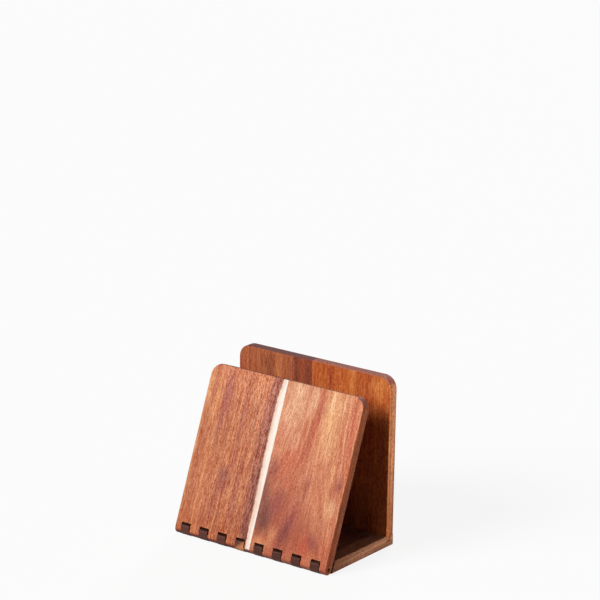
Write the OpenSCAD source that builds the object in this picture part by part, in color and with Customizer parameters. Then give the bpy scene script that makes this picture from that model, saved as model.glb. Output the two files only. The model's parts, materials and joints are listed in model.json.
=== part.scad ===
// Napkin holder of edge-glued boards: a base, a fixed back board let into it, and a front
// leaf that leans over the napkins and swings on a pinned knuckle hinge.
// X runs across the boards, Y from the hinge to the back board, Z up from the table.

/* [Holder] */
// Width over the boards
holder_w = 150; // [120:1:200]
// Depth from the round fingers of the base to the rear face
holder_d = 91; // [80:1:130]
// Height of the back board above the table
holder_h = 140.5; // [110:0.5:180]
// Thickness of the back board and of the leaf
board_t = 8.8; // [8:0.2:12]
// Radius of the top corners of the back board and of the leaf
corner_r = 10.6; // [6:0.2:20]
// Radius of the eased long edges
edge_r = 0.8; // [0.4:0.1:1.2]

/* [Leaf] */
// Length of the leaf from its round nose to its top edge
leaf_len = 140; // [110:1:180]
// Angle that the leaf leans back at rest, in degrees
leaf_lean = 20.8; // [15:0.1:25]

/* [Knuckle hinge] */
// Number of fingers on the front edge of the base
finger_count = 8; // [5:1:9]
// Width of a notch between two tails of the leaf
notch_w = 9.2; // [7:0.1:10]
// Width of the tail at each end of the leaf
end_tail_w = 6; // [5:0.1:9]
// Side play of a finger in its notch
side_play = 0.7; // [0.4:0.1:1.2]
// Share of that play by which the leaf lies over to the right
play_lie_share = 0.05; // [0:0.05:0.3]
// Radius of the top edge on the square end of a finger
finger_r = 1.4; // [0.8:0.1:2]
// Gap that this edge keeps to the notch when the leaf turns
turn_gap = 0.2; // [0.1:0.05:0.3]
// Gap between a finger and the top of its notch, on the face of the leaf
notch_gap = 0.5; // [0.3:0.1:1.5]
// Gap between a finger and the inner edge of its notch, which stops the leaf
stop_gap = 0.2; // [0.1:0.05:0.3]
// Gap between the round nose of the leaf and the table
nose_gap = 0.2; // [0.1:0.05:0.5]
// Gap between the leaf and the slanted shoulder of the base
shoulder_gap = 1.3; // [1:0.1:2]
// Radius of the top edge of the shoulder
shoulder_r = 2; // [1:0.5:3]

/* [Hinge pins] */
// Diameter of a hinge pin
pin_d = 3; // [2:0.5:4]
// Length of a hinge pin
pin_len = 36; // [30:1:44]
// Depth of the pin's outer end below the side of the leaf
pin_recess = 2; // [1:0.5:3]
// Clearance on the radius where a tail turns on the pin
pin_play = 0.05; // [0.02:0.01:0.1]
// Free depth of the bore past the inner end of the pin
pin_end_gap = 0.5; // [0.3:0.1:1]
// Chamfer on both ends of a pin
pin_chamfer = 0.3; // [0.2:0.1:0.5]

/* [Back joint] */
// Thickness of the tongue under the front half of the back board
tongue_t = 4; // [3:0.5:6]
// Depth of the groove that the tongue stands in
tongue_h = 4; // [3:0.5:6]

/* [Staves] */
// Place of the glued seam in the base, to the right of the middle
base_seam_x = 0.5; // [-4:0.1:4]
// Place of the glued seam in the back board
back_seam_x = -1.6; // [-4:0.1:4]
// Place of the glued seam in the leaf
leaf_seam_x = 0.8; // [-4:0.1:4]

/* [Hidden] */
$fn = 96;
// How far a cutter runs past what it cuts
overrun = 1;
// The base is thicker than the leaf, so that the leaf's nose swings clear of the table
base_t = board_t + 2 * nose_gap;
front_y = -holder_d / 2;
rear_y = holder_d / 2;
back_face_y = rear_y - board_t;
// The hinge runs through the middle of the base's thickness
pin_y = front_y + base_t / 2;
pin_z = base_t / 2;
pin_bore_depth = pin_recess + pin_len + pin_end_gap;
// The leaf is drawn upright about the hinge, so its top edge is measured from the pin
leaf_top = leaf_len - board_t / 2;
// Fingers and notches share one pitch
finger_pitch = (holder_w - 2 * end_tail_w - notch_w) / (finger_count - 1);
finger_w = notch_w - side_play;
finger_shift = side_play * play_lie_share;
first_notch_x = end_tail_w + notch_w / 2 - holder_w / 2;
// Height of a notch above the pin, on the outer face and at the inner edge that lands on a finger
notch_face_h = base_t / 2 + notch_gap;
notch_stop_h = (base_t / 2 + stop_gap + board_t / 2 * sin(leaf_lean)) / cos(leaf_lean);
// How far a finger's top edge reaches from the pin, and the hollow in which it turns
finger_reach = finger_r + sqrt(2) * (base_t / 2 - finger_r);
notch_hollow_r = finger_reach + turn_gap;
// The shoulder lies parallel to the resting leaf: its distance from the pin and its foot and head
shoulder_off = board_t / 2 + shoulder_gap;
shoulder_foot_y = pin_y + (shoulder_off - pin_z * sin(leaf_lean)) / cos(leaf_lean);
shoulder_head_y = shoulder_foot_y + base_t * tan(leaf_lean);
// Centre of the rounding on the shoulder's top edge
shoulder_bend_y = shoulder_head_y + shoulder_r * (1 - sin(leaf_lean)) / cos(leaf_lean);
shoulder_bend_z = base_t - shoulder_r;
reach = holder_w + holder_d + holder_h + leaf_len;

// Corner of a square bar with a round bite: the corner stands at the origin, the board's
// solid lies towards -X and -Y
module easing_profile(r) {
    difference() {
        translate([-r, -r]) square(r + overrun);
        translate([-r, -r]) circle(r);
    }
}

// Cutter that eases a straight edge along X, with the solid towards -Y and -Z
module easing_bar(run, r) {
    rotate([90, 0, 90]) linear_extrude(run) easing_profile(r);
}

// Cutter that rounds an upright corner of a slab to a radius, with the solid towards -X and -Y
module corner_cutter(r, t) {
    translate([-r, -r, 0]) difference() {
        translate([0, 0, -t / 2 - overrun]) cube([r + overrun, r + overrun, t + 2 * overrun]);
        cylinder(r = r, h = t + 4 * overrun, center = true);
    }
}

// Cutters for the right half of one face of a panel: its side, its top corner and its top edge
module panel_easing(w, h, t) {
    translate([w / 2, 0, t / 2]) rotate([0, 0, 90]) mirror([0, 1, 0])
        translate([-overrun, 0, 0]) easing_bar(h - corner_r + overrun, edge_r);
    translate([w / 2 - corner_r, h - corner_r, t / 2]) rotate_extrude(angle = 90)
        translate([corner_r, 0]) easing_profile(edge_r);
    translate([0, h, t / 2]) easing_bar(w / 2 - corner_r, edge_r);
}

// Flat panel with round top corners and eased edges, lying about the plane Z = 0 with its
// lower edge on the X axis
module panel(w, h, t) {
    difference() {
        translate([-w / 2, 0, -t / 2]) cube([w, h, t]);
        for (side = [0, 1]) mirror([side, 0, 0]) {
            translate([w / 2, h, 0]) corner_cutter(corner_r, t);
            for (face = [0, 1]) mirror([0, 0, face]) panel_easing(w, h, t);
        }
    }
}

// Half-round nose under a panel, on the X axis, with its ends eased by end_r
module round_nose(w, t, end_r) {
    rotate([0, 90, 0]) rotate([0, 0, -90]) rotate_extrude(angle = 180) difference() {
        translate([0, -w / 2]) square([t / 2, w]);
        if (end_r > 0) for (side = [0, 1]) mirror([0, side]) {
            translate([t / 2, w / 2]) easing_profile(end_r);
        }
    }
}

// Bores for both pins, from the sides of the holder inwards
module pin_bores(d) {
    for (side = [0, 1]) mirror([side, 0, 0]) {
        translate([holder_w / 2 + overrun, 0, 0]) rotate([0, -90, 0])
            cylinder(d = d, h = pin_bore_depth + overrun);
    }
}

// What lies on one side of a seam: the left stave or the right stave of a board
module stave(seam_x, right) {
    intersection() {
        children();
        translate([right ? seam_x : seam_x - reach, -reach, -reach])
            cube([reach, 2 * reach, 2 * reach]);
    }
}

// Slot along X between x0 and x1, cut by an outline in Y and Z
module crosswise(x0, x1) {
    translate([x0, 0, 0]) rotate([90, 0, 90]) linear_extrude(x1 - x0) children();
}

// Socket in the front edge of the base, from x0 to x1, which takes a tail of the leaf
module socket(x0, x1) {
    lean_y = sin(leaf_lean);
    lean_z = cos(leaf_lean);
    crosswise(x0, x1) polygon([
        [front_y - overrun, -overrun],
        [shoulder_foot_y - overrun * tan(leaf_lean), -overrun],
        [shoulder_head_y + overrun * tan(leaf_lean), base_t + overrun],
        [front_y - overrun, base_t + overrun]
    ]);
    difference() {
        crosswise(x0, x1) polygon([
            [shoulder_bend_y, base_t],
            [shoulder_bend_y, base_t + overrun],
            [shoulder_head_y - overrun, base_t + overrun],
            [shoulder_bend_y - shoulder_r * lean_z, shoulder_bend_z + shoulder_r * lean_y]
        ]);
        crosswise(x0 - overrun, x1 + overrun)
            translate([shoulder_bend_y, shoulder_bend_z]) circle(shoulder_r);
    }
}

// All the sockets: one at each end and one between each two fingers
module sockets() {
    for (i = [0 : finger_count]) {
        right_of_last = first_notch_x + (i - 1) * finger_pitch + finger_w / 2 - finger_shift;
        left_of_next = first_notch_x + i * finger_pitch - finger_w / 2 - finger_shift;
        socket(
            i == 0 ? -holder_w / 2 - overrun : right_of_last,
            i == finger_count ? holder_w / 2 + overrun : left_of_next
        );
    }
}

// The base before it is split into staves. Its fingers end square above the pin and round
// below it
module base_board() {
    difference() {
        union() {
            translate([-holder_w / 2, pin_y, 0]) cube([holder_w, rear_y - pin_y, base_t]);
            translate([0, pin_y, pin_z]) rotate([-90, 0, 0]) round_nose(holder_w, base_t, 0);
            translate([-holder_w / 2, front_y, pin_z])
                cube([holder_w, pin_y - front_y, base_t - pin_z]);
        }
        translate([-holder_w / 2 - overrun, front_y, base_t]) mirror([0, 1, 0])
            easing_bar(holder_w + 2 * overrun, finger_r);
        sockets();
        translate([0, pin_y, pin_z]) pin_bores(pin_d);
        base_groove();
        base_easing();
    }
}

// Groove across the base for the tongue of the back board
module base_groove() {
    translate([-holder_w / 2 - overrun, back_face_y, base_t - tongue_h])
        cube([holder_w + 2 * overrun, tongue_t, tongue_h + overrun]);
}

// Easing of the base: both bottom side edges, the top side edges in front of the back
// board, and the bottom rear edge
module base_easing() {
    for (side = [0, 1]) mirror([side, 0, 0]) {
        translate([holder_w / 2, pin_y, base_t]) rotate([0, 0, 90]) mirror([0, 1, 0])
            easing_bar(back_face_y - pin_y, edge_r);
        translate([holder_w / 2, pin_y, 0]) mirror([0, 0, 1]) rotate([0, 0, 90]) mirror([0, 1, 0])
            easing_bar(rear_y - pin_y + overrun, edge_r);
    }
    translate([-holder_w / 2 - overrun, rear_y, 0]) mirror([0, 0, 1])
        easing_bar(holder_w + 2 * overrun, edge_r);
}

// The back board before it is split into staves, with the tongue under its front half
module back_board() {
    union() {
        translate([0, rear_y - board_t / 2, base_t]) rotate([90, 0, 0])
            panel(holder_w, holder_h - base_t, board_t);
        translate([-holder_w / 2, back_face_y, base_t - tongue_h])
            cube([holder_w, tongue_t, tongue_h]);
    }
}

// Notch in the lower edge of the leaf, at x, with its top bevelled so that only its inner
// edge meets the finger, and hollowed so that the finger's top edge turns past it
module notch(x) {
    rise = (notch_stop_h - notch_face_h) / board_t;
    crosswise(x - notch_w / 2, x + notch_w / 2) polygon([
        [-board_t / 2 - overrun, -board_t],
        [board_t / 2 + overrun, -board_t],
        [board_t / 2 + overrun, notch_stop_h + overrun * rise],
        [-board_t / 2 - overrun, notch_face_h - overrun * rise]
    ]);
    translate([x - notch_w / 2, 0, 0]) rotate([0, 90, 0])
        cylinder(r = notch_hollow_r, h = notch_w);
}

// The leaf before it is split into staves, upright about the hinge axis
module leaf_upright() {
    difference() {
        union() {
            rotate([90, 0, 0]) panel(holder_w, leaf_top, board_t);
            round_nose(holder_w, board_t, edge_r);
        }
        for (i = [0 : finger_count - 1]) notch(first_notch_x + i * finger_pitch);
        pin_bores(pin_d + 2 * pin_play);
    }
}

// The leaf where it rests, leaning back on its hinge
module leaf() {
    translate([0, pin_y, pin_z]) rotate([-leaf_lean, 0, 0]) leaf_upright();
}

// Hinge pin with chamfered ends, driven in from the right side
module hinge_pin() {
    shank = pin_len - 2 * pin_chamfer;
    translate([holder_w / 2 - pin_recess, pin_y, pin_z]) rotate([0, -90, 0]) {
        cylinder(d1 = pin_d - 2 * pin_chamfer, d2 = pin_d, h = pin_chamfer);
        translate([0, 0, pin_chamfer]) cylinder(d = pin_d, h = shank);
        translate([0, 0, pin_chamfer + shank])
            cylinder(d1 = pin_d, d2 = pin_d - 2 * pin_chamfer, h = pin_chamfer);
    }
}

module base_stave_left() { color("saddlebrown") stave(base_seam_x, false) base_board(); }
module base_stave_right() { color("sienna") stave(base_seam_x, true) base_board(); }
module back_stave_left() { color("brown") stave(back_seam_x, false) back_board(); }
module back_stave_right() { color("peru") stave(back_seam_x, true) back_board(); }
module front_stave_left() { color("peru") stave(leaf_seam_x, false) leaf(); }
module front_stave_right() { color("burlywood") stave(leaf_seam_x, true) leaf(); }
module hinge_pin_left() { color("silver") mirror([1, 0, 0]) hinge_pin(); }
module hinge_pin_right() { color("silver") hinge_pin(); }

base_stave_left();
base_stave_right();
back_stave_left();
back_stave_right();
front_stave_left();
front_stave_right();
hinge_pin_left();
hinge_pin_right();
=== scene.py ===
import json
import math

import bpy
from mathutils import Matrix, Vector


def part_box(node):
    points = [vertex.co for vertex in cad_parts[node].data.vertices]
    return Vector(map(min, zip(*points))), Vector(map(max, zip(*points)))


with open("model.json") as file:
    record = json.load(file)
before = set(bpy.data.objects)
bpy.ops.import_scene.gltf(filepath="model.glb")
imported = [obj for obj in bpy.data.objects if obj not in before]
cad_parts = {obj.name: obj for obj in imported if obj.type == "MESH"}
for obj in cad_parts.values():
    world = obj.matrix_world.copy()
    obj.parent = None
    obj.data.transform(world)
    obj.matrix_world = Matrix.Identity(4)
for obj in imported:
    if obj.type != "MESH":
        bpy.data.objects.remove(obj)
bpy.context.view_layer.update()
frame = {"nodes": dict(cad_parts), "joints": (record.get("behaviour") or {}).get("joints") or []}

bl_info = {
    "name": "Napkin holder finishes",
    "version": (1, 0, 0),
    "blender": (4, 5, 0),
    "location": "3D View > Sidebar > Napkin holder",
    "description": "Finishes the boards and pins of a wooden napkin holder and sets its studio",
    "category": "Object",
}

MM = 0.001
EVEN = (1.0, 1.0, 1.0)

# Boxes and middles of the boards and the hinge's place, in metres, all from the frame
BACK_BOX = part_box("back_stave_left")
BASE_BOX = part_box("base_stave_left")
BACK_MIDDLE = (BACK_BOX[0][1] + BACK_BOX[1][1]) / 2
BASE_MIDDLE = (BASE_BOX[0][2] + BASE_BOX[1][2]) / 2
HINGE = Vector(frame["joints"][0]["pos_m"])

# Places on the boards, in millimetres: the glued seams from left to right, the hinge and the back
# board's front face from front to back, the top of the base, and the thickness of the tongue
LEAF_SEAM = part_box("front_stave_left")[1][0] / MM
BACK_SEAM = BACK_BOX[1][0] / MM
BASE_SEAM = BASE_BOX[1][0] / MM
HINGE_LINE = HINGE.y / MM
BACK_FACE = BACK_BOX[0][1] / MM
BASE_TOP = BASE_BOX[1][2] / MM
TONGUE = 4.0

# Each stave: the name of its finish, where the tree's pith would lie across and through the board
# in millimetres, and the seed of its grain
STAVES = {
    "front_stave_left": ("leaf_left_oiled", (-120.0, 60.0), 1),
    "front_stave_right": ("leaf_right_oiled", (120.0, 60.0), 2),
    "back_stave_left": ("back_left_oiled", (-120.0, 60.0), 3),
    "back_stave_right": ("back_right_oiled", (110.0, 70.0), 4),
    "base_stave_left": ("base_stave_left_oiled", (-45.0, -60.0), 5),
    "base_stave_right": ("base_stave_right_oiled", (20.0, -70.0), 6),
}
# How far each step of the seed moves the noise, in millimetres
SEED_STEP = (37.0, 11.0, 53.0)

# Fields of the wood: the size of the lumps across, through and along the grain in millimetres, then
# the detail and the roughness of the noise
FIELDS = {
    "drift": ((55, 55, 130), 2.0, 0.5),
    "wobble": ((8, 8, 26), 2.0, 0.5),
    "bands": ((9, 30, 240), 2.0, 0.5),
    "lines": ((1.7, 12, 80), 3.0, 0.6),
    "threads": ((0.68, 1.0, 7.0), 1.0, 0.5),
    "grit": ((0.66, 0.8, 1.9), 1.0, 0.5),
    "hairs": ((0.30, 0.5, 8.0), 1.0, 0.5),
    "cloud": ((12, 12, 24), 3.0, 0.55),
    "ripple": ((16, 14, 3.6), 1.0, 0.5),
}
# Scattered dashes: the size of their cells in the same way, and the chance that one has to beat
PORES = ((0.55, 0.6, 3.2), 0.30)
FLECKS = ((1.2, 1.3, 3.4), 0.45)
# How far from its point a dash ends and from where it is full, and how softly the chance cuts in
DASH_RIM, DASH_CORE = 0.34, 0.16
CHANCE_STEP = 0.1
# How far the drift and the wobble move the grain aside, in millimetres from end to end of the noise
DRIFT = 8.0
WOBBLE = 1.6
# Share of the depth in a board that counts in the rings, and of the fan that fine grain follows
RING_DEPTH = 0.15
FINE_FAN = 0.5
# Steps of the fan across the board: from full at the seam to none, then half as far the other way
FAN_LEFT = (4.0, 46.0, 1.0, 0.0)
FAN_RIGHT = (44.0, 66.0, 0.0, -0.50)
# Ground colour: how much the bands and the lines count in it, and its step between two colours
BAND_WEIGHT, LINE_WEIGHT = 0.6, 0.4
GROUND_STEP = (0.34, 0.66)

# What sways the grain's tone: the field, where its step begins and ends, and its weight. The drop
# is taken off their sum
SWAY = [
    ("lines", 0.34, 0.66, 0.14),
    ("threads", 0.42, 0.58, 0.36),
    ("grit", 0.42, 0.58, 0.42),
    ("hairs", 0.36, 0.64, 0.32),
]
SWAY_DROP = 0.12
# How much the dark grain takes from red, green and blue, what the light grain adds, and the factors
# inside pores and flecks
GRAIN_DARK = (0.34, 0.70, 0.88)
GRAIN_LIGHT = (0.33, 0.76, 1.10)
PORE_TINT = (0.58, 0.34, 0.22)
# Roughness of oiled wood and its relief: what each field adds
ROUGHNESS = 0.44
ROUGHNESS_FIELDS = [("cloud", 0.16), ("lines", 0.10), ("pores", 0.15)]
RELIEF_FIELDS = [
    ("threads", 0.40), ("grit", 0.22), ("hairs", 0.25), ("pores", -0.55), ("flecks", -0.50)]
RELIEF_HEIGHT = 0.14 * MM
RELIEF_STRENGTH = 0.6
GLOSS = 0.16
# Lighter rims, partly wear and partly a painted highlight where the eased edges catch the light:
# steps by how slanted the surface is and by the cloud, and how light the wood gets
RIM_STEP = (0.04, 0.16)
RIM_WEAR_AND_HIGHLIGHT_STEP = (0.35, 0.65, 0.10, 0.50)
RIM_WEAR_AND_HIGHLIGHT = 1.30

# A streak fades between these two distances from its middle, counted in its half sizes with the
# fray added
FRAYED_EDGE = (2.15, 1.25)
SOFT_EDGE = (1.50, 0.50)
# How much grit joins the lines in the fray, how much of it a soft edge keeps, and how deep a streak
# goes, in millimetres
FRAY_GRIT = 0.9
SOFT_FRAY = 0.4
STREAK_DEPTH = 80.0

# Painted light along the leaf, in place of the key lamp's falloff: lighter towards its head, with a
# painted sheen on the left stave, and painted shade at its foot. Between which heights in
# millimetres it goes from its foot and to its head, and its factors for red, green and blue at both
PAINTED_LIGHT_FOOT = (4.0, 40.0)
PAINTED_LIGHT_HEAD = (70.0, 126.0)
LEAF_LEFT_PAINTED_LIGHT = ((0.90, 0.78, 0.68), (1.17, 1.23, 1.31))
LEAF_RIGHT_PAINTED_LIGHT = ((0.82, 0.64, 0.60), (1.04, 1.07, 1.06))
# Planed sides: steps of the change of colour halfway through, of the lines and of the grit
SIDE_HALVES = (-1.0, 2.6)
SIDE_LINES = (0.32, 0.68, 0.66, 1.32)
SIDE_GRIT = (0.32, 0.68, 0.66, 1.34)
# Their darker foot: from where to where along the board it fades, and its factors
LEAF_SIDE_FOOT = (0.0, 80.0, (0.76, 0.66, 0.64))
BACK_SIDE_FOOT = (8.0, 60.0, (0.73, 0.60, 0.46))
BASE_SIDE_FOOT = (-38.0, 2.0, (0.50, 0.38, 0.31))
# End grain: the sizes of its rings and pores in millimetres, and their steps
END_RING_SIZE = (1.2, 1, 1)
END_RINGS = (0.30, 0.70, 0.70, 1.30)
END_PORE_SIZE = (0.9, 0.9, 3.0)
END_PORES = (0.15, 0.40, 0.70, 1.0)
# How far a face looks along the grain where end grain begins and where it is full, on the boards'
# flat ends and on the rounded fingers
BOARD_ENDS = (0.30, 0.60)
FINGER_ENDS = (0.12, 0.38)
# Hairlines: the distance at which they end, in millimetres, and the share of colour left in them.
# They are full up to the core
GLUE_LINE = (0.22, 0.66)
TONGUE_LINE = (1.20, 0.15)
GROOVE_LINE = (1.50, 0.04)
LINE_CORE = 0.05
# Painted shade in the inner corners, where little light reaches: between which distances from the
# middle it darkens, in millimetres, and how much
CORNER_START, CORNER_END = 54.0, 72.0
CORNER_SHADE = 0.44

# Pins: the sizes of the marks of drawing, long along the pin, and of the spots, in millimetres
PIN_MARKS = (12.0, 0.08, 0.08)
PIN_SPOTS = (0.6, 0.6, 0.6)

LAMP_DISTANCE = 3.0
# Lamps: the name, the property with the strength, the softness as an angle in degrees, and the
# direction that the light comes from
LAMPS = [
    ("key_lamp", "key_light", 30.0, (-0.32, -0.78, 0.52)),
    ("side_lamp", "side_light", 9.0, (0.98, 0.01, 0.02)),
    ("fill_lamp", "fill_light", 40.0, (0.32, -0.94, 0.08)),
    ("rear_lamp", "rear_light", 16.0, (-0.30, 0.88, 0.36)),
]

# Streaks of a stave: across, along, half width and half length in millimetres, lean in
# degrees, the name of the colour and its strength
LEAF_LEFT_STREAKS = [
    (-73.6, 68, 1.6, 80, 0, "left_gold", 0.55),
    (-72, 116, 3.2, 24, 0, "left_gold", 0.45),
    (-66, 96, 6, 14, 0, "left_gold", 0.22),
    (-53.5, 112, 4.4, 30, 0, "left_red", 0.9),
    (-55.5, 86, 4.8, 22, 0, "left_red", 0.5),
    (-52, 14, 6.5, 16, 0, "left_red", 0.4),
    (-60.6, 30, 1.1, 46, 1, "left_gold", 0.6),
    (-58.6, 72, 1.3, 26, 1, "left_gold", 0.45),
    (-63, 112, 3, 26, 0, "left_gold", 0.3),
    (-47.6, 46, 1.2, 30, 0, "left_gold", 0.4),
    (-38.8, 96, 0.9, 40, 0, "left_gold", 0.4),
    (-43.5, 26, 5.5, 18, 0, "left_red", 0.62),
    (-21.5, 18, 7, 14, 0, "left_red", 0.48),
    (-22, 112, 5, 20, 0, "left_red", 0.25),
    (-45.5, 96, 1.4, 36, 0, "left_grey", 0.5),
    (-40.5, 45, 7, 15, 0, "left_red", 0.75),
    (-40, 50, 5, 8, 0, "left_grey", 0.45),
    (-34.6, 98, 1.9, 40, 0, "left_red", 0.85),
    (-33.2, 58, 1.2, 18, 0, "left_red", 0.6),
    (-39.6, 12, 0.7, 18, 0, "left_gold", 0.65),
    (-37.8, 12, 0.9, 16, 2, "left_grey", 0.95),
    (-31, 28, 1.5, 28, 0, "left_gold", 0.35),
    (-19.5, 26, 1.6, 22, 0, "left_gold", 0.3),
    (-25, 44, 3.4, 32, 0, "left_red", 0.6),
    (-27, 104, 1.6, 22, 0, "left_grey", 0.4),
    (-21.5, 98, 1.4, 26, 0, "left_grey", 0.45),
    (-24, 120, 3.4, 20, 0, "left_gold", 0.22),
    (-17.5, 70, 1.2, 30, 0, "left_grey", 0.4),
]
# The right stave's long streaks lie along its fanned grain, given as it is at the top
LEAF_RIGHT_STREAKS = [
    (13, 124, 1.1, 20, 0, "right_light", 0.4),
    (21.6, 124, 0.9, 20, 0, "right_light", 0.25),
    (18, 96, 1, 14, 0, "right_red", 0.4),
    (36.6, 116, 1.7, 13, 0, "right_plum", 0.4),
    (34.4, 96, 1.6, 18, 0, "right_plum", 0.4),
    (25.4, 74, 0.8, 50, 0, "right_light", 0.12),
    (47, 128, 2.6, 14, 0, "right_light", 0.5),
    (58, 128, 1.4, 14, 0, "right_light", 0.5),
    (60.2, 104, 0.9, 30, 0, "right_red", 0.5),
    (62.4, 104, 0.9, 34, 0, "right_light", 0.15),
    (64.4, 98, 1, 34, 0, "right_red", 0.55),
    (68.2, 100, 1.9, 34, 0, "right_red", 0.7),
    (71, 104, 1, 34, 0, "right_light", 0.12),
]
# Its broad soft flames, given in the same way
LEAF_RIGHT_FLAMES = [
    (14, 114, 14, 40, 0, "right_pale", 0.76),
    (29.5, 125, 5.6, 20, 0, "right_pale", 0.8),
    (36, 108, 3.8, 46, 0, "right_red", 0.74),
    (27.5, 74, 9, 32, 0, "right_red", 0.74),
    (49, 114, 11.5, 40, 0, "right_tan", 0.84),
    (69, 108, 7, 44, 0, "right_red", 0.58),
]
# Its patches, given as they lie on the board
LEAF_RIGHT_PATCHES = [
    # The first two patches are painted shade over the lower part of the stave
    (18, 38, 30, 42, 12, "right_low_painted_shade", 0.85),
    (42, 24, 24, 28, 0, "right_low_painted_shade", 0.75),
    (69.5, 65, 4.4, 9, 0, "right_plum", 0.7),
    (68, 48, 3.2, 10, -10, "right_light", 0.44),
    (66.5, 45, 3, 10, -14, "right_light", 0.34),
    (63, 46, 5, 14, -16, "right_tan", 0.5),
    (70, 24, 2.6, 24, -6, "right_tan", 0.45),
    (39.5, 58, 5, 14, 6, "right_plum", 0.2),
    (5, 90, 6, 18, 8, "right_red", 0.55),
    (20, 90, 6, 12, 12, "right_pale", 0.55),
    (61, 75, 4.5, 16, 0, "right_tan", 0.6),
    (52, 89, 7, 13, 0, "right_tan", 0.48),
    (5, 40, 6, 18, 4, "right_grey", 0.55),
    (11, 25, 6, 14, 8, "right_grey", 0.52),
    (30, 21, 8, 28, 13, "right_plum", 0.95),
    (29.5, 18, 2.6, 13, 12, "right_grey", 0.55),
    (8, 27, 8, 20, 8, "right_grey", 0.95),
    (2.5, 50, 4.4, 22, 0, "right_grey", 0.6),
    (6, 66, 7.5, 14, 0, "right_plum", 0.65),
    (16, 38, 9.5, 19, 14, "right_plum", 0.72),
    (22, 56, 5, 7, 10, "right_red", 0.6),
    (2, 25, 2, 14, 0, "right_grey", 0.75),
    (7, 5, 8, 7, 0, "right_tan", 0.9),
    (13, 130, 7, 9, 0, "right_light", 0.32),
    (18, 12, 5, 13, 10, "right_tan", 0.65),
    (50, 12, 8, 14, -6, "right_red", 0.9),
    (57, 17, 7, 11, -28, "right_plum", 0.75),
    (41, 58, 2.4, 16, 8, "right_plum", 0.5),
    (70, 12, 4, 20, 0, "right_red", 0.35),
]
BACK_LEFT_STREAKS = [
    (-70, 100, 5, 60, 0, "left_red", 0.6),
    (-44, 128, 5, 16, 4, "left_dark", 0.6),
    (-51, 130, 3, 12, 0, "left_dark", 0.45),
    (-33, 90, 5, 70, -1, "left_gold", 0.7),
    (-56, 70, 4, 60, 1, "left_gold", 0.6),
    (-20.4, 90, 0.9, 90, 0, "left_red", 0.95),
    (-25, 110, 1.4, 40, 0, "left_dark", 0.5),
]
# Streaks over the dark band beside the back board's seam
BACK_BAND_STREAKS = [
    (-18.2, 126, 1.9, 60, 0, "left_dark", 1.0),
    (-11.5, 126, 3.4, 50, 0, "left_wood", 0.3),
    (-5.4, 126, 2.6, 16, 0, "left_dark", 0.95),
]
BACK_RIGHT_STREAKS = [
    (17, 128, 2.6, 26, 2, "right_red", 1.0),
    (64, 131, 10, 12, 4, "right_gold", 0.45),
    (38, 110, 4, 60, 2, "right_gold", 0.55),
    (28, 70, 5, 60, -2, "right_red", 0.45),
    (68, 60, 5, 50, 2, "right_red", 0.45),
    (9, 60, 3, 70, 0, "right_gold", 0.55),
    (53, 118, 1.6, 30, 2, "right_red", 0.6),
]
BASE_STREAKS = [
    (-60, 10, 4, 60, 3, "pale", 0.5),
    (-30, -20, 5, 50, -3, "red", 0.5),
    (22, 10, 4, 60, 2, "pale", 0.5),
    (50, -10, 6, 60, -2, "red", 0.5),
    (68, -10, 7, 70, 0, "pale", 0.7),
    # The last pale streak is a painted highlight: the lit strip along the base's right top edge
    (73.6, 0, 2.6, 90, 0, "pale", 0.95),
]
# The left edge of the leaf's sapwood: height on the leaf and distance from the seam, in
# millimetres
SAPWOOD_EDGE = [
    (0, 4.1), (20, 4.7), (40, 5.2), (60, 5.8), (80, 6.3), (100, 6.7), (118, 6.2), (130, 4.7),
    (136, 3.9)]
# How far the right stave's grain has fanned out: height on the leaf and distance, in millimetres
FAN = [
    (0, 23.0), (20, 22.0), (40, 19.5), (60, 15.0), (80, 9.6), (100, 4.8), (120, 1.2), (136, 0.0)]


def paint(red, green, blue):
    """Linear colour of an 8-bit screen colour."""
    def linear(level):
        part = level / 255
        return part / 12.92 if part <= 0.04045 else ((part + 0.055) / 1.055) ** 2.4
    return (linear(red), linear(green), linear(blue))


def colour(name, description, red, green, blue):
    """Colour property with a screen colour as its default."""
    return bpy.props.FloatVectorProperty(
        name=name, description=description, subtype="COLOR", size=3, min=0.0, max=1.0,
        default=paint(red, green, blue))


def length(name, description, metres):
    """Length property."""
    return bpy.props.FloatProperty(
        name=name, description=description, unit="LENGTH", default=metres)


def angle(name, description, degrees):
    """Angle property."""
    return bpy.props.FloatProperty(
        name=name, description=description, unit="ROTATION", default=math.radians(degrees))


def share(name, description, value):
    """Property for a share from 0 to 1."""
    return bpy.props.FloatProperty(
        name=name, description=description, subtype="FACTOR", min=0.0, max=1.0, default=value)


def strength(name, description, value):
    """Property for the strength of a lamp."""
    return bpy.props.FloatProperty(name=name, description=description, min=0.0, default=value)


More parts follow.
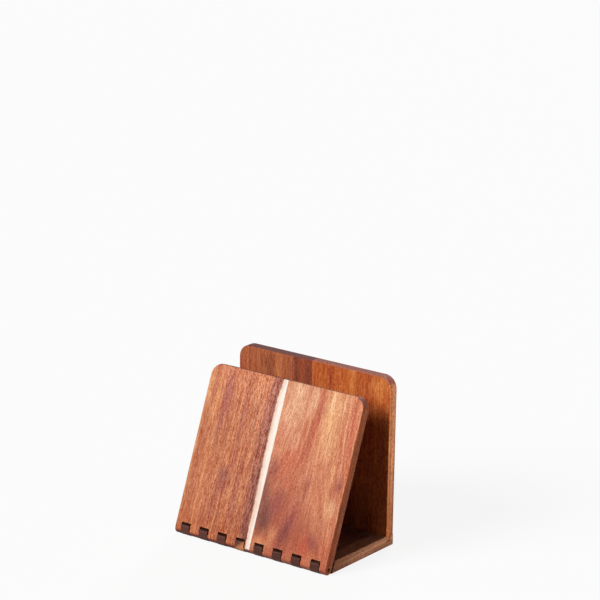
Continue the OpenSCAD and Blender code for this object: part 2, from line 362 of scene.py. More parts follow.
class LeafLook(bpy.types.PropertyGroup):
    """Lean and colours of the front leaf"""
    lean: angle("Lean", "How far the leaf leans back at rest", 20.8)
    left_wood: colour("Left stave", "Ground colour of the left stave", 203, 124, 82)
    left_deep: colour("Left stave, deep", "Darker grain of the left stave", 180, 102, 68)
    left_gold: colour("Left gold", "Golden streaks of the left stave", 226, 158, 100)
    left_red: colour("Left red", "Reddish streaks of the left stave", 160, 86, 70)
    left_grey: colour("Left grey", "Greyish streaks of the left stave", 136, 82, 66)
    band: colour("Dark band", "Dark band of heartwood beside the sapwood", 114, 60, 55)
    band_light: colour("Band ground", "Ground colour between the dark lines", 168, 98, 76)
    sapwood: colour("Sapwood", "Pale strip beside the seam", 252, 238, 226)
    sapwood_warm: colour("Sapwood, warm", "Warmer lines in the pale strip", 230, 190, 162)
    right_wood: colour("Right stave", "Ground colour of the right stave", 212, 138, 98)
    right_deep: colour("Right stave, deep", "Darker grain of the right stave", 190, 108, 76)
    right_pale: colour("Right pale", "Pale pinkish streaks of the right stave", 228, 168, 132)
    right_light: colour("Right light", "Lightest lines of the right stave", 244, 196, 152)
    right_tan: colour("Right tan", "Golden tan streaks of the right stave", 230, 166, 116)
    right_red: colour("Right red", "Red streaks of the right stave", 198, 100, 70)
    right_plum: colour("Right plum", "Plum streaks of the right stave", 150, 74, 66)
    # Painted shade: the colour that darkens the lower part of the right stave, where less light
    # falls
    right_low_painted_shade: colour("Right low", "Darker heartwood low on the right stave", 172, 90, 64)
    right_grey: colour("Right grey", "Greyish smudge near the seam", 118, 70, 60)
    end_grain: colour("End grain", "Sawn ends of the left stave", 108, 55, 46)
    end_right: colour("End grain, right", "Sawn ends of the right stave", 140, 82, 68)
    side: colour("Side", "Planed sides of the leaf", 142, 70, 36)
    side_rear: colour("Side, rear", "Rear half of the leaf's sides", 144, 82, 52)


class BackLook(bpy.types.PropertyGroup):
    """Colours of the back board"""
    left_wood: colour("Left stave", "Ground colour of the left stave", 184, 104, 62)
    left_deep: colour("Left stave, deep", "Darker grain of the left stave", 160, 84, 52)
    left_gold: colour("Left gold", "Golden streaks of the left stave", 206, 128, 78)
    left_red: colour("Left red", "Reddish streaks of the left stave", 158, 72, 46)
    left_dark: colour("Left dark", "Dark marks of the left stave", 126, 64, 44)
    band: colour("Dark band", "Dark band beside the seam", 137, 63, 41)
    right_wood: colour("Right stave", "Ground colour of the right stave", 199, 104, 47)
    right_deep: colour("Right stave, deep", "Darker grain of the right stave", 177, 84, 42)
    right_gold: colour("Right gold", "Golden streaks of the right stave", 222, 140, 72)
    right_red: colour("Right red", "Red streaks of the right stave", 166, 74, 42)
    end_grain: colour("End grain", "Sawn ends of the left back stave", 121, 69, 62)
    end_right: colour("End grain, right", "Sawn ends of the right back stave", 168, 100, 84)
    side: colour("Side", "Planed sides of the back board", 210, 133, 87)
    side_rear: colour("Side, rear", "Rear half of the back board's sides", 186, 124, 87)
    band_width: length("Dark band width", "Width of the dark band", 17.5 * MM)


class BaseLook(bpy.types.PropertyGroup):
    """Colours of the base"""
    wood: colour("Wood", "Ground colour of the base", 166, 108, 78)
    deep: colour("Wood, deep", "Darker grain of the base", 132, 76, 56)
    pale: colour("Pale", "Pale streaks of the base", 204, 140, 98)
    red: colour("Red", "Reddish streaks of the base", 140, 76, 56)
    end_grain: colour("End grain", "Sawn ends of the left fingers", 93, 55, 46)
    end_right: colour("End grain, right", "Sawn ends of the right fingers", 84, 48, 40)
    side: colour("Side", "Planed sides of the base", 178, 120, 86)
    side_rear: colour("Side, low", "Lower half of the sides of the base", 150, 97, 69)
    patch: colour("Patch", "Pale patch in one finger", 196, 126, 84)


class PinLook(bpy.types.PropertyGroup):
    """Finish of the hinge pins"""
    steel: colour("Steel", "Colour of the drawn steel", 176, 174, 170)
    roughness: share("Roughness", "Roughness of the drawn steel", 0.35)


class StudioLook(bpy.types.PropertyGroup):
    """Floor, lamps and camera"""
    floor_size: length("Floor size", "Side of the floor", 16.0)
    floor_colour: colour("Floor", "Colour of the floor as seen", 252, 252, 252)
    floor_bounce: colour("Floor bounce", "Colour of the floor as it lights the holder", 92, 92, 92)
    floor_glow: share("Floor lift", "Share of plain white that the camera sees in the floor", 0.88)
    world_light: share("World light", "Strength of the light from all sides", 0.020)
    key_light: strength("Key light", "Strength of the light from the front left", 3.25)
    side_light: strength("Side light", "Strength of the light from the right", 2.8)
    fill_light: strength("Fill light", "Strength of the light from the front", 0.32)
    rear_light: strength("Rear light", "Strength of the light from behind", 1.2)
    azimuth: angle("Azimuth", "Camera's place round the holder", 36.65)
    elevation: angle("Elevation", "Camera's height above the horizon", 15.795)
    roll: angle("Roll", "Camera's turn about its own axis", 0.988)
    lens: bpy.props.FloatProperty(
        name="Lens", description="Focal length of the camera in millimetres", unit="CAMERA",
        default=158.88)
    place: bpy.props.FloatVectorProperty(
        name="Camera place", description="Where the camera stands", unit="LENGTH", size=3,
        default=(1.1935, -1.5872, 0.7605))


class Finish:
    """Node tree of one finish, with a word for each kind of step."""

    def __init__(self, name):
        self.material = bpy.data.materials.new(name)
        self.material.use_nodes = True
        self.nodes = self.material.node_tree.nodes
        self.links = self.material.node_tree.links
        self.nodes.clear()
        self.shader = self.node("ShaderNodeBsdfPrincipled")
        self.output = self.node("ShaderNodeOutputMaterial")
        self.links.new(self.shader.outputs["BSDF"], self.output.inputs["Surface"])
        self.coordinates = self.node("ShaderNodeTexCoord")

    def node(self, kind, **settings):
        """A new node with its settings."""
        made = self.nodes.new(kind)
        for name, value in settings.items():
            setattr(made, name, value)
        return made

    def feed(self, socket, source):
        """Links a source into a socket, or sets a plain value there."""
        if isinstance(source, bpy.types.NodeSocket):
            self.links.new(source, socket)
        elif source is not None:
            if socket.type == "RGBA" and len(source) == 3:
                source = (*source, 1.0)
            socket.default_value = source

    def sum(self, operation, *terms):
        """Result of a math node."""
        made = self.node("ShaderNodeMath", operation=operation)
        for socket, term in zip(made.inputs, terms):
            self.feed(socket, term)
        return made.outputs[0]

    def scale(self, value, amount):
        """A value times an amount."""
        return self.sum("MULTIPLY", value, amount)

    def swing(self, noise, reach, middle=0.0):
        """A noise made to swing about a middle, over a reach from end to end."""
        return self.sum("MULTIPLY_ADD", self.sum("SUBTRACT", noise, 0.5), reach, middle)

    def vector(self, operation, first, second=None):
        """Result of a vector math node."""
        made = self.node("ShaderNodeVectorMath", operation=operation)
        self.feed(made.inputs[0], first)
        self.feed(made.inputs[1], second)
        single = operation in ("LENGTH", "DOT_PRODUCT")
        return made.outputs["Value" if single else "Vector"]

    def combine(self, x, y, z):
        """Vector of three values."""
        made = self.node("ShaderNodeCombineXYZ")
        for socket, term in zip(made.inputs, (x, y, z)):
            self.feed(socket, term)
        return made.outputs[0]

    def split(self, vector):
        """The three values of a vector."""
        made = self.node("ShaderNodeSeparateXYZ")
        self.feed(made.inputs[0], vector)
        return made.outputs

    def about(self, vector, place=(0, 0, 0), turn=(0, 0, 0), size=(1, 1, 1)):
        """The vector as seen from a place, turned, and counted in lots of a size."""
        made = self.node("ShaderNodeMapping", vector_type="TEXTURE")
        self.feed(made.inputs["Vector"], vector)
        made.inputs["Location"].default_value = place
        made.inputs["Rotation"].default_value = turn
        made.inputs["Scale"].default_value = size
        return made.outputs[0]

    def noise(self, vector, size, place=(0, 0, 0), detail=2.0, roughness=0.5):
        """Noise about 0.5, mostly from 0.3 to 0.7, whose lumps have about that size."""
        made = self.node("ShaderNodeTexNoise")
        self.feed(made.inputs["Vector"], self.about(vector, place=place, size=size))
        made.inputs["Scale"].default_value = 1.0
        made.inputs["Detail"].default_value = detail
        made.inputs["Roughness"].default_value = roughness
        return made.outputs[0]

    def scatter(self, vector, size, place=(0, 0, 0)):
        """Scattered points, about one to each size."""
        made = self.node("ShaderNodeTexVoronoi")
        self.feed(made.inputs["Vector"], self.about(vector, place=place, size=size))
        made.inputs["Scale"].default_value = 1.0
        return made.outputs

    def dashes(self, vector, place, size, chance):
        """Scattered short dashes: 1 inside them, in the cells that draw over the chance."""
        points = self.scatter(vector, size, place)
        drawn = self.split(points["Color"])[0]
        mark = self.step(points["Distance"], DASH_RIM, DASH_CORE)
        return self.scale(mark, self.step(drawn, chance, chance + CHANCE_STEP))

    def step(self, value, low, high, out_low=0.0, out_high=1.0):
        """Smooth step: out_low up to low, and out_high from high on."""
        made = self.node("ShaderNodeMapRange", interpolation_type="SMOOTHSTEP")
        for socket, term in zip(made.inputs, (value, low, high, out_low, out_high)):
            self.feed(socket, term)
        return made.outputs[0]

    def mix(self, amount, under, over):
        """Colour between two colours."""
        made = self.node("ShaderNodeMix", data_type="RGBA")
        self.feed(made.inputs[0], amount)
        self.feed(made.inputs[6], under)
        self.feed(made.inputs[7], over)
        return made.outputs[2]

    def dim(self, tint, amount):
        """Colour times a value."""
        made = self.node("ShaderNodeVectorMath", operation="SCALE")
        self.feed(made.inputs[0], tint)
        self.feed(made.inputs["Scale"], amount)
        return made.outputs["Vector"]

    def curve(self, value, points):
        """Smooth curve through points given from low to high."""
        width = points[-1][0]
        rise = max(y for _, y in points)
        made = self.node("ShaderNodeFloatCurve")
        line = made.mapping.curves[0]
        while len(line.points) < len(points):
            line.points.new(0.5, 0.5)
        for point, (x, y) in zip(line.points, points):
            point.location = (x / width, y / rise)
        made.mapping.update()
        self.feed(made.inputs["Value"], self.sum("DIVIDE", value, width))
        return self.scale(made.outputs[0], rise)


class Grain(Finish):
    """Finish of one stave, with the fields of its wood in millimetres and its grain along Z."""

    def __init__(self, stave, place, turn, axis, face, fan=False):
        name, pith, seed = STAVES[stave]
        super().__init__(name)
        self.stave = stave
        self.shift = tuple(seed * step for step in SEED_STEP)
        out = self.coordinates.outputs
        plain = self.about(out["Object"], place=place, turn=turn, size=(MM, MM, MM))
        self.across, self.through, self.along = self.split(plain)[:]
        drift = self.swing(self.field("drift", plain), DRIFT)
        self.wobble = self.swing(self.field("wobble", plain), WOBBLE)
        self.placed = self.aside(plain, self.wobble)
        self.fanned = self.placed
        fine = self.placed
        if fan:
            spread = self.fan_out()
            self.fanned = self.aside(self.placed, spread)
            fine = self.aside(self.placed, self.scale(spread, FINE_FAN))
        flat = self.vector("MULTIPLY", self.aside(self.fanned, drift), (1.0, 1.0, 0.0))
        self.ring = self.vector("LENGTH", self.vector("SUBTRACT", flat, (*pith, 0.0)))
        rings = self.combine(self.ring, self.scale(self.through, RING_DEPTH), self.along)
        self.bands = self.field("bands", rings)
        self.lines = self.field("lines", rings)
        self.threads = self.field("threads", fine)
        self.grit = self.field("grit", fine)
        self.hairs = self.field("hairs", fine)
        self.cloud = self.field("cloud", self.placed)
        self.ripple = self.field("ripple", self.placed)
        self.pores = self.dashes(fine, self.shift, *PORES)
        self.flecks = self.dashes(fine, self.shift, *FLECKS)
        self.lengthwise = self.facing(axis)
        self.sides = self.step(self.facing((1.0, 0.0, 0.0)), 0.5, 0.9)
        flatwise = self.facing(face)
        rim = self.scale(flatwise, self.sum("SUBTRACT", 1.0, flatwise))
        self.rims = self.step(rim, *RIM_STEP)

    def field(self, name, vector):
        """One of the wood's fields."""
        size, detail, roughness = FIELDS[name]
        return self.noise(vector, size, self.shift, detail, roughness)

    def aside(self, vector, amount):
        """The vector moved across the board by an amount."""
        return self.vector("ADD", vector, self.combine(amount, 0.0, 0.0))

    def facing(self, direction):
        """How far the surface looks along a direction, either way."""
        normal = self.coordinates.outputs["Normal"]
        return self.sum("ABSOLUTE", self.vector("DOT_PRODUCT", normal, direction))

    def weigh(self, value, weights):
        """A value plus each named field times its weight."""
        for name, weight in weights:
            value = self.sum("MULTIPLY_ADD", getattr(self, name), weight, value)
        return value

    def fan_out(self):
        """How far the grain of a flat-sawn stave has moved aside, fanning out down the leaf."""
        down = self.curve(self.along, FAN)
        left = self.step(self.across, *FAN_LEFT)
        right = self.step(self.across, *FAN_RIGHT)
        return self.scale(down, self.sum("ADD", left, right))

    def ground(self, wood, deep):
        """Ground colour of a stave: soft bands between two colours."""
        lines = self.scale(self.lines, LINE_WEIGHT)
        tone = self.sum("ADD", self.scale(self.bands, BAND_WEIGHT), lines)
        return self.mix(self.step(tone, *GROUND_STEP), deep, wood)

    def streaks(self, tint, look, places, where=None, soft=False):
        """Long streaks laid over the colour, with frayed or soft edges."""
        fray = self.sum("ADD", self.lines, self.scale(self.grit, FRAY_GRIT))
        if soft:
            fray = self.scale(fray, SOFT_FRAY)
        outer, inner = SOFT_EDGE if soft else FRAYED_EDGE
        field = self.placed if where is None else where
        for across, along, half_width, half_length, lean, name, most in places:
            local = self.about(
                field, place=(across, 0.0, along), turn=(0.0, math.radians(lean), 0.0),
                size=(half_width, STREAK_DEPTH, half_length))
            reach = self.sum("ADD", self.vector("LENGTH", local), fray)
            mask = self.step(reach, outer, inner, 0.0, most)
            tint = self.mix(mask, tint, getattr(look, name))
        return tint

    def figure(self, tint, depth=1.0, ripple=0.0, bold=None):
        """Grain lines, threads, grit and pores over a colour, stronger where it is bold."""
        swing = 0.0
        for name, low, high, weight in SWAY:
            field = self.step(getattr(self, name), low, high)
            swing = self.sum("MULTIPLY_ADD", field, weight, swing)
        swing = self.sum("SUBTRACT", swing, SWAY_DROP)
        if bold is not None:
            swing = self.swing(swing, bold, 0.5)
        dark = tuple(1.0 - depth * part for part in GRAIN_DARK)
        light = tuple(1.0 + depth * part for part in GRAIN_LIGHT)
        tint = self.vector("MULTIPLY", tint, self.mix(swing, dark, light))
        tint = self.dim(tint, self.sum("MULTIPLY_ADD", self.cloud, 0.20, 0.90))
        if ripple:
            level = self.sum("MULTIPLY_ADD", self.ripple, ripple, 1.0 - ripple / 2)
            tint = self.dim(tint, level)
        marks = self.sum("ADD", self.scale(self.pores, 0.5), self.scale(self.flecks, 0.5))
        return self.vector("MULTIPLY", tint, self.mix(marks, EVEN, PORE_TINT))

    def tone(self, tint, foot, head):
        """Painted light and shade along the board, by factors at its foot and at its head."""
        low = self.mix(self.step(self.along, *PAINTED_LIGHT_FOOT), foot, EVEN)
        high = self.mix(self.step(self.along, *PAINTED_LIGHT_HEAD), EVEN, head)
        return self.vector("MULTIPLY", tint, self.vector("MULTIPLY", low, high))

    def plane_sides(self, tint, look, low, high, foot):
        """Planed sides: one colour in front or on top, one behind or below, and a darker foot."""
        own = self.mix(self.step(self.through, *SIDE_HALVES), look.side, look.side_rear)
        grit = self.step(self.grit, *SIDE_GRIT)
        own = self.dim(own, self.scale(self.step(self.lines, *SIDE_LINES), grit))
        own = self.dim(own, self.sum("MULTIPLY_ADD", self.pores, -0.22, 1.0))
        own = self.dim(own, self.sum("MULTIPLY_ADD", self.cloud, 0.60, 0.70))
        shade = self.mix(self.step(self.along, low, high), foot, EVEN)
        return self.mix(self.sides, tint, self.vector("MULTIPLY", own, shade))

    def paint_corner_shade(self, tint, near):
        """Painted shade in the inner corner, darker wood where little light reaches and near is 1.
        """
        off = self.sum("ABSOLUTE", self.across)
        inner = self.step(off, CORNER_START, CORNER_END, 1.0, 0.0)
        depth = self.scale(near, inner)
        return self.dim(tint, self.sum("MULTIPLY_ADD", depth, -CORNER_SHADE, 1.0))

    def saw_ends(self, tint, end_tint, low, high):
        """Sawn end grain: darker, with rings and open pores."""
        rings = self.noise(self.combine(self.ring, 0.0, 0.0), END_RING_SIZE, detail=3.0)
        dark = self.dim(end_tint, self.step(rings, *END_RINGS))
        spots = self.scatter(self.placed, END_PORE_SIZE)["Distance"]
        dark = self.dim(dark, self.step(spots, *END_PORES))
        return self.mix(self.step(self.lengthwise, low, high), tint, dark)

    def score(self, tint, distance, width, level):
        """Hairline where a distance is nought."""
        off = self.sum("ABSOLUTE", distance)
        return self.dim(tint, self.step(off, LINE_CORE, width, level, 1.0))

    def oil(self, tint, seam):
        """Glue line at the seam, rims lighter by wear and a painted highlight, oiled roughness, and
        the relief of grain and pores.
        """
        shader = self.shader
        tint = self.score(tint, self.sum("SUBTRACT", self.across, seam), *GLUE_LINE)
        # Lighter rims: wear, and a painted highlight where the eased edges catch the light
        wear_and_highlight = self.scale(self.rims, self.step(self.cloud, *RIM_WEAR_AND_HIGHLIGHT_STEP))
        tint = self.mix(wear_and_highlight, tint, self.dim(tint, RIM_WEAR_AND_HIGHLIGHT))
        self.feed(shader.inputs["Base Color"], tint)
        self.feed(shader.inputs["Roughness"], self.weigh(ROUGHNESS, ROUGHNESS_FIELDS))
        bump = self.node("ShaderNodeBump")
        bump.inputs["Strength"].default_value = RELIEF_STRENGTH
        bump.inputs["Distance"].default_value = RELIEF_HEIGHT
        self.feed(bump.inputs["Height"], self.weigh(0.0, RELIEF_FIELDS))
        self.feed(shader.inputs["Normal"], bump.outputs[0])
        shader.inputs["Specular IOR Level"].default_value = GLOSS
        dress(self.stave, self.material)


def dress(node, material):
    """Gives a CAD node its finish."""
    piece = frame["nodes"][node]
    piece.data.materials.clear()
    piece.data.materials.append(material)


def leaf_grain(stave, look, fan=False):
    """Grain of a leaf stave: the board lies about the hinge and leans back."""
    axis = (0.0, math.sin(look.lean), math.cos(look.lean))
    face = (0.0, math.cos(look.lean), -math.sin(look.lean))
    return Grain(stave, HINGE, (-look.lean, 0.0, 0.0), axis, face, fan)


def back_grain(stave):
    """Grain of a back stave: the board stands upright."""
    return Grain(stave, (0.0, BACK_MIDDLE, 0.0), (0.0, 0.0, 0.0), (0.0, 0.0, 1.0), (0.0, 1.0, 0.0))


def base_grain(stave):
    """Grain of a base stave: it runs from front to back, and through counts downwards."""
    turn = (math.radians(-90.0), 0.0, 0.0)
    return Grain(stave, (0.0, 0.0, BASE_MIDDLE), turn, (0.0, 1.0, 0.0), (0.0, 0.0, 1.0))


class NAPKIN_OT_leaf(bpy.types.Operator):
    """Finishes the two staves of the front leaf"""
    bl_idname = "napkin_holder.leaf"
    bl_label = "Finish the leaf"

    def execute(self, context):
        look = context.scene.leaf_look
        grain = leaf_grain("front_stave_left", look)
        tint = grain.ground(look.left_wood, look.left_deep)
        tint = grain.streaks(tint, look, LEAF_LEFT_STREAKS)
        tint, pale, cream = self.lay_sapwood(grain, look, tint)
        bold = grain.step(grain.across, -56.0, -36.0, 0.84, 1.10)
        bold = grain.sum("ADD", bold, grain.step(grain.across, -17.0, -11.0, 0.0, 0.90))
        tint = grain.figure(tint, ripple=0.16, bold=bold)
        # Painted light: the left stave lighter towards its head, with a painted sheen, and darker
        # at its foot
        tint = grain.mix(pale, grain.tone(tint, *LEAF_LEFT_PAINTED_LIGHT), cream)
        tint = grain.plane_sides(tint, look, *LEAF_SIDE_FOOT)
        grain.oil(grain.saw_ends(tint, look.end_grain, *BOARD_ENDS), LEAF_SEAM)

        grain = leaf_grain("front_stave_right", look, fan=True)
        tint = grain.ground(look.right_wood, look.right_deep)
        tint = grain.streaks(tint, look, LEAF_RIGHT_FLAMES, where=grain.fanned, soft=True)
        tint = grain.streaks(tint, look, LEAF_RIGHT_STREAKS, where=grain.fanned)
        tint = grain.streaks(tint, look, LEAF_RIGHT_PATCHES, soft=True)
        bold = grain.step(grain.along, 30.0, 80.0, 0.66, 1.0)
        bold = grain.sum("ADD", bold, grain.step(grain.across, 56.0, 66.0, 0.0, 0.30))
        # Painted light: the right stave lighter towards its head, and darker and redder at its foot
        tint = grain.tone(grain.figure(tint, depth=0.68, bold=bold), *LEAF_RIGHT_PAINTED_LIGHT)
        tint = grain.plane_sides(tint, look, *LEAF_SIDE_FOOT)
        grain.oil(grain.saw_ends(tint, look.end_right, *BOARD_ENDS), LEAF_SEAM)
        return {"FINISHED"}

    def lay_sapwood(self, grain, look, tint):
        """Dark band beside the seam, and where and in what colour the pale sapwood lies on it."""
        along = grain.along
        # Everything here is placed by how far inside the sapwood's left edge a point is
        edge = grain.sum("MULTIPLY_ADD", grain.curve(along, SAPWOOD_EDGE), -1.0, LEAF_SEAM)
        inside = grain.sum("SUBTRACT", grain.sum("ADD", grain.across, grain.wobble), edge)
        stripes = grain.noise(grain.combine(inside, 0.0, along), (1.2, 1, 50), roughness=0.6)
        wave = grain.noise(grain.combine(0.0, 0.0, along), (1, 1, 4.5), roughness=0.6)
        fray = grain.swing(stripes, 3.0, inside)
        rim = grain.swing(wave, 3.0, inside)
        # The band: its ground, a wide dark part low down, one close to the edge and a thin line
        tint = grain.mix(grain.step(fray, -10.5, -8.5, 0.0, 0.80), tint, look.band_light)
        wide = grain.step(along, 66.0, 50.0, 0.0, 0.70)
        wide = grain.scale(grain.step(fray, -8.8, -7.4), wide)
        near = grain.step(fray, -4.8, -3.2, 0.0, 0.95)
        near = grain.scale(near, grain.step(along, 40.0, 100.0, 1.0, 0.78))
        thin = grain.sum("ABSOLUTE", grain.sum("ADD", inside, 7.5))
        thin = grain.step(thin, 1.0, 0.3, 0.0, 0.70)
        dark = grain.sum("MAXIMUM", grain.sum("MAXIMUM", wide, near), thin)
        dark = grain.scale(dark, grain.step(stripes, 0.36, 0.52, 0.45, 1.0))
        dark = grain.scale(dark, grain.step(grain.threads, 0.56, 0.44, 0.55, 1.0))
        dark = grain.scale(dark, grain.step(rim, -2.0, -0.6, 1.0, 0.55))
        tint = grain.mix(dark, tint, look.band)
        # The sapwood: warmer in its stripes, along its left side and low on the leaf
        pale = grain.step(rim, -0.90, 0.40)
        warm = grain.step(stripes, 0.45, 0.80, 0.0, 0.30)
        left = grain.step(rim, 4.6, 0.0, 0.0, 0.66)
        left = grain.scale(left, grain.step(along, 112.0, 132.0, 1.0, 0.66))
        low = grain.step(along, 70.0, 34.0, 0.0, 0.17)
        low = grain.scale(low, grain.step(along, 8.0, 30.0))
        warm = grain.sum("ADD", warm, grain.sum("ADD", left, low))
        cream = grain.mix(warm, look.sapwood, look.sapwood_warm)
        cream = grain.dim(cream, grain.step(grain.threads, 0.30, 0.70, 0.93, 1.04))
        return tint, pale, cream


class NAPKIN_OT_back(bpy.types.Operator):
    """Finishes the two staves of the back board"""
    bl_idname = "napkin_holder.back"
    bl_label = "Finish the back board"

    def execute(self, context):
        look = context.scene.back_look
        grain = back_grain("back_stave_left")
        tint = grain.ground(look.left_wood, look.left_deep)
        tint = grain.streaks(tint, look, BACK_LEFT_STREAKS)
        tint = self.lay_band(grain, look, tint)
        tint = self.paint_foot_shade(grain, grain.figure(tint, depth=0.68))
        tint = self.mark_tongue(grain, grain.plane_sides(tint, look, *BACK_SIDE_FOOT))
        grain.oil(grain.saw_ends(tint, look.end_grain, *BOARD_ENDS), BACK_SEAM)

        grain = back_grain("back_stave_right")
        tint = grain.ground(look.right_wood, look.right_deep)
        tint = grain.streaks(tint, look, BACK_RIGHT_STREAKS)
        tint = self.paint_foot_shade(grain, grain.figure(tint, depth=0.80))
        tint = self.mark_tongue(grain, grain.plane_sides(tint, look, *BACK_SIDE_FOOT))
        grain.oil(grain.saw_ends(tint, look.end_right, *BOARD_ENDS), BACK_SEAM)
        return {"FINISHED"}

    def lay_band(self, grain, look, tint):
        """Dark band beside the seam, with its own streaks."""
        inside = grain.sum("SUBTRACT", grain.sum("ADD", grain.across, grain.wobble), BACK_SEAM)
        width = look.band_width / MM
        band = grain.step(inside, -width - 0.8, -width + 0.8, 0.0, 0.90)
        return grain.streaks(grain.mix(band, tint, look.band), look, BACK_BAND_STREAKS)

    def paint_foot_shade(self, grain, tint):
        """Painted shade on the foot of the front face, in the corner over the base."""
        low = grain.step(grain.along, 56.0, 10.0)
        front = grain.step(grain.through, -2.0, -3.0)
        return grain.paint_corner_shade(tint, grain.scale(low, front))

    def mark_tongue(self, grain, tint):
        """Slightly darker tongue, and the joint line where the shoulder stands on the base."""
        tint = grain.dim(tint, grain.step(grain.along, BASE_TOP, BASE_TOP + 1.0, 0.88, 1.0))
        off = grain.sum("SUBTRACT", grain.along, BASE_TOP)
        line = grain.score(tint, off, *TONGUE_LINE)
        return grain.mix(grain.step(grain.through, -0.6, -0.2), tint, line)


class NAPKIN_OT_base(bpy.types.Operator):
    """Finishes the two staves of the base"""
    bl_idname = "napkin_holder.base"
    bl_label = "Finish the base"

    def execute(self, context):
        look = context.scene.base_look
        for stave, ends in (
                ("base_stave_left", look.end_grain), ("base_stave_right", look.end_right)):
            grain = base_grain(stave)
            tint = grain.streaks(grain.ground(look.wood, look.deep), look, BASE_STREAKS)
            tint = self.paint_base_corner_shade(grain, grain.figure(tint))
            tint = grain.plane_sides(tint, look, *BASE_SIDE_FOOT)
            tint = self.mark_groove(grain, self.paint_finger_shade(grain, tint))
            tint = grain.saw_ends(tint, ends, *FINGER_ENDS)
            if stave == "base_stave_left":
                tint = self.patch_finger(grain, look, tint)
            grain.oil(tint, BASE_SEAM)
        return {"FINISHED"}

    def paint_finger_shade(self, grain, tint):
        """Painted shade on top of the fingers, in the gap where the leaf's notches shade them."""
        behind = grain.step(grain.along, HINGE_LINE + 1.5, HINGE_LINE + 3.5, 0.16, 1.0)
        return grain.dim(tint, behind)

    def paint_base_corner_shade(self, grain, tint):
        """Painted shade on the top face, in the corner under the back board."""
        near = grain.step(grain.along, BACK_FACE - 34.0, BACK_FACE - 6.0)
        front = grain.step(grain.along, BACK_FACE + 0.5, BACK_FACE)
        return grain.paint_corner_shade(tint, grain.scale(near, front))

    def mark_groove(self, grain, tint):
        """Joint line round the tongue of the back board."""
        half = TONGUE / 2
        off = grain.sum("SUBTRACT", grain.along, BACK_FACE + half)
        beside = grain.sum("SUBTRACT", grain.sum("ABSOLUTE", off), half)
        under = grain.sum("ADD", grain.through, (BACK_BOX[0][2] - BASE_MIDDLE) / MM)
        line = grain.score(tint, grain.sum("MAXIMUM", beside, under), *GROOVE_LINE)
        behind = grain.step(grain.along, BACK_FACE - 0.3, BACK_FACE + 0.3)
        return grain.mix(behind, tint, line)

    def patch_finger(self, grain, look, tint):
        """Paler wood in the lower right corner of the fourth finger."""
        # It lies right of and below a slant line, near the finger's middle, and on its front
        slant = grain.sum("MULTIPLY_ADD", grain.across, 0.59, 8.2)
        slant = grain.sum("MULTIPLY_ADD", grain.through, 0.81, slant)
        off = grain.sum("ABSOLUTE", grain.sum("ADD", grain.across, 9.2))
        front = grain.step(grain.along, HINGE_LINE + 2.0, HINGE_LINE)
        mask = grain.scale(grain.step(slant, -0.6, 3.4), grain.step(off, 5.0, 4.9))
        mask = grain.scale(mask, front)
        patch = grain.dim(look.patch, grain.step(grain.lines, 0.3, 0.7, 0.8, 1.15))
        return grain.mix(mask, tint, patch)


class NAPKIN_OT_pins(bpy.types.Operator):
    """Finishes the hinge pins as drawn steel"""
    bl_idname = "napkin_holder.pins"
    bl_label = "Finish the pins"

    def execute(self, context):
        look = context.scene.pin_look
        finish = Finish("pin_drawn_steel")
        drawn = finish.about(finish.coordinates.outputs["Object"], size=(MM, MM, MM))
        marks = finish.noise(drawn, PIN_MARKS, detail=3.0)
        spots = finish.noise(drawn, PIN_SPOTS, detail=4.0)
        level = finish.sum("MULTIPLY_ADD", marks, 0.30, 0.75)
        finish.feed(finish.shader.inputs["Base Color"], finish.dim(look.steel, level))
        finish.shader.inputs["Metallic"].default_value = 1.0
        rough = finish.sum("MULTIPLY_ADD", spots, 0.20, look.roughness - 0.10)
        finish.feed(finish.shader.inputs["Roughness"], rough)
        for node in ("hinge_pin_left", "hinge_pin_right"):
            dress(node, finish.material)
        return {"FINISHED"}


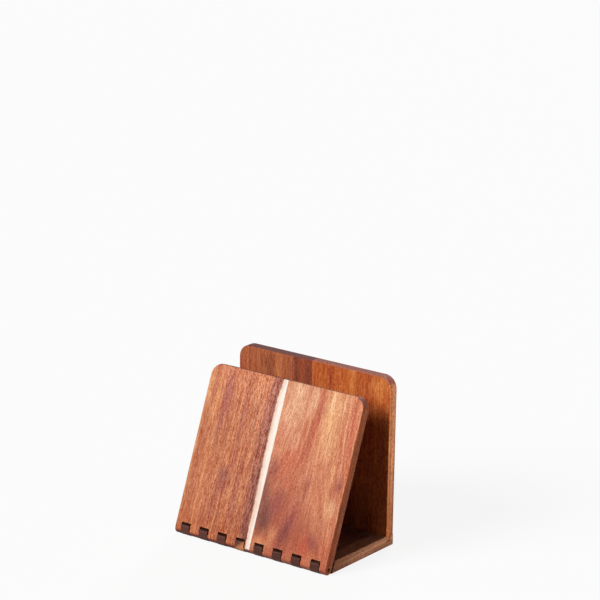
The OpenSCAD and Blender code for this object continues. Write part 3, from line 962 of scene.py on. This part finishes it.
class NAPKIN_OT_studio(bpy.types.Operator):
    """Sets the floor, the lamps, the world and the camera"""
    bl_idname = "napkin_holder.studio"
    bl_label = "Set the studio"

    def execute(self, context):
        scene = context.scene
        look = scene.studio_look
        scene.view_settings.view_transform = "Standard"
        self.lay_floor(look)
        self.light_world(scene, look)
        for name, light, softness, source in LAMPS:
            self.hang_lamp(name, getattr(look, light), softness, source)
        self.stand_camera(scene, look)
        return {"FINISHED"}

    def lay_floor(self, look):
        """Plain pale floor: the camera sees it nearly white, and it throws back less light."""
        bpy.ops.object.select_all(action="DESELECT")
        bpy.ops.mesh.primitive_plane_add(size=look.floor_size)
        floor = bpy.context.object
        floor.name = "studio_floor"
        finish = Finish("floor_pale")
        soft = finish.noise(finish.coordinates.outputs["Object"], (0.9, 0.9, 0.9))
        level = finish.sum("MULTIPLY_ADD", soft, 0.02, 0.99)
        rays = finish.node("ShaderNodeLightPath")
        tint = finish.mix(rays.outputs["Is Camera Ray"], look.floor_bounce, look.floor_colour)
        finish.feed(finish.shader.inputs["Base Color"], finish.dim(tint, level))
        finish.shader.inputs["Roughness"].default_value = 0.9
        finish.shader.inputs["Specular IOR Level"].default_value = 0.1
        seen = finish.sum("MAXIMUM", rays.outputs["Is Camera Ray"], rays.outputs["Is Glossy Ray"])
        seen = finish.sum("MAXIMUM", seen, rays.outputs["Is Transmission Ray"])
        white = finish.node("ShaderNodeEmission")
        blend = finish.node("ShaderNodeMixShader")
        finish.feed(blend.inputs[0], finish.scale(seen, look.floor_glow))
        finish.feed(blend.inputs[1], finish.shader.outputs["BSDF"])
        finish.feed(blend.inputs[2], white.outputs[0])
        finish.feed(finish.output.inputs["Surface"], blend.outputs[0])
        floor.data.materials.append(finish.material)

    def light_world(self, scene, look):
        """World that the camera sees white, and that lights the holder only a little."""
        world = bpy.data.worlds.new("studio_world")
        scene.world = world
        world.use_nodes = True
        nodes = world.node_tree.nodes
        nodes.clear()
        output = nodes.new("ShaderNodeOutputWorld")
        sky = nodes.new("ShaderNodeBackground")
        rays = nodes.new("ShaderNodeLightPath")
        seen = nodes.new("ShaderNodeMath")
        seen.operation = "MAXIMUM"
        level = nodes.new("ShaderNodeMapRange")
        level.inputs["To Min"].default_value = look.world_light
        level.inputs["To Max"].default_value = 1.0
        link = world.node_tree.links.new
        link(rays.outputs["Is Camera Ray"], seen.inputs[0])
        link(rays.outputs["Is Transmission Ray"], seen.inputs[1])
        link(seen.outputs[0], level.inputs["Value"])
        link(level.outputs["Result"], sky.inputs["Strength"])
        link(sky.outputs[0], output.inputs["Surface"])
        sky.inputs["Color"].default_value = (1.0, 1.0, 1.0, 1.0)

    def hang_lamp(self, name, light, softness, source):
        """Soft distant lamp that shines from a direction."""
        source = Vector(source)
        bpy.ops.object.select_all(action="DESELECT")
        bpy.ops.object.light_add(type="SUN", location=source.normalized() * LAMP_DISTANCE)
        made = bpy.context.object
        made.name = name
        made.data.name = name
        made.data.energy = light
        made.data.angle = math.radians(softness)
        made.rotation_euler = source.to_track_quat("Z", "Y").to_euler()

    def stand_camera(self, scene, look):
        """Camera at its place, turned by its azimuth, elevation and roll."""
        bpy.ops.object.select_all(action="DESELECT")
        bpy.ops.object.camera_add(location=look.place)
        camera = bpy.context.object
        camera.name = "photo_camera"
        camera.data.lens = look.lens
        camera.data.sensor_width = 36.0
        camera.data.clip_end = 100.0
        right = Vector((math.cos(look.azimuth), math.sin(look.azimuth), 0.0))
        back = Vector((
            math.sin(look.azimuth) * math.cos(look.elevation),
            -math.cos(look.azimuth) * math.cos(look.elevation),
            math.sin(look.elevation)))
        up = back.cross(right)
        turned_right = right * math.cos(look.roll) + up * math.sin(look.roll)
        turned_up = up * math.cos(look.roll) - right * math.sin(look.roll)
        axes = Matrix((turned_right, turned_up, back)).transposed()
        camera.rotation_euler = axes.to_euler()
        scene.camera = camera


class NAPKIN_PT_panel(bpy.types.Panel):
    """Lists the holder's finishes and the studio in the sidebar"""
    bl_label = "Napkin holder"
    bl_idname = "NAPKIN_PT_panel"
    bl_space_type = "VIEW_3D"
    bl_region_type = "UI"
    bl_category = "Napkin holder"

    def draw(self, context):
        """A box for each operator, with the look that it uses."""
        for look_name, operator in STEPS:
            box = self.layout.box()
            box.operator(operator)
            look = getattr(context.scene, look_name)
            for name in look.__annotations__:
                box.prop(look, name)


LOOKS = {
    "base_look": BaseLook,
    "back_look": BackLook,
    "leaf_look": LeafLook,
    "pin_look": PinLook,
    "studio_look": StudioLook,
}
# Each look and the operator that uses it, in the order in which they run
STEPS = [
    ("base_look", "napkin_holder.base"),
    ("back_look", "napkin_holder.back"),
    ("leaf_look", "napkin_holder.leaf"),
    ("pin_look", "napkin_holder.pins"),
    ("studio_look", "napkin_holder.studio"),
]
CLASSES = (
    *LOOKS.values(), NAPKIN_OT_base, NAPKIN_OT_back, NAPKIN_OT_leaf, NAPKIN_OT_pins,
    NAPKIN_OT_studio, NAPKIN_PT_panel)


def register():
    """Registers the classes, and gives the scene its looks."""
    for each in CLASSES:
        bpy.utils.register_class(each)
    for name, group in LOOKS.items():
        setattr(bpy.types.Scene, name, bpy.props.PointerProperty(type=group))


def unregister():
    """Takes away the looks and the classes."""
    for name in LOOKS:
        delattr(bpy.types.Scene, name)
    for each in reversed(CLASSES):
        bpy.utils.unregister_class(each)


def main():
    """Runs the operators in order."""
    register()
    for _, operator in STEPS:
        group, name = operator.split(".")
        getattr(getattr(bpy.ops, group), name)()


if __name__ == "__main__":
    main()
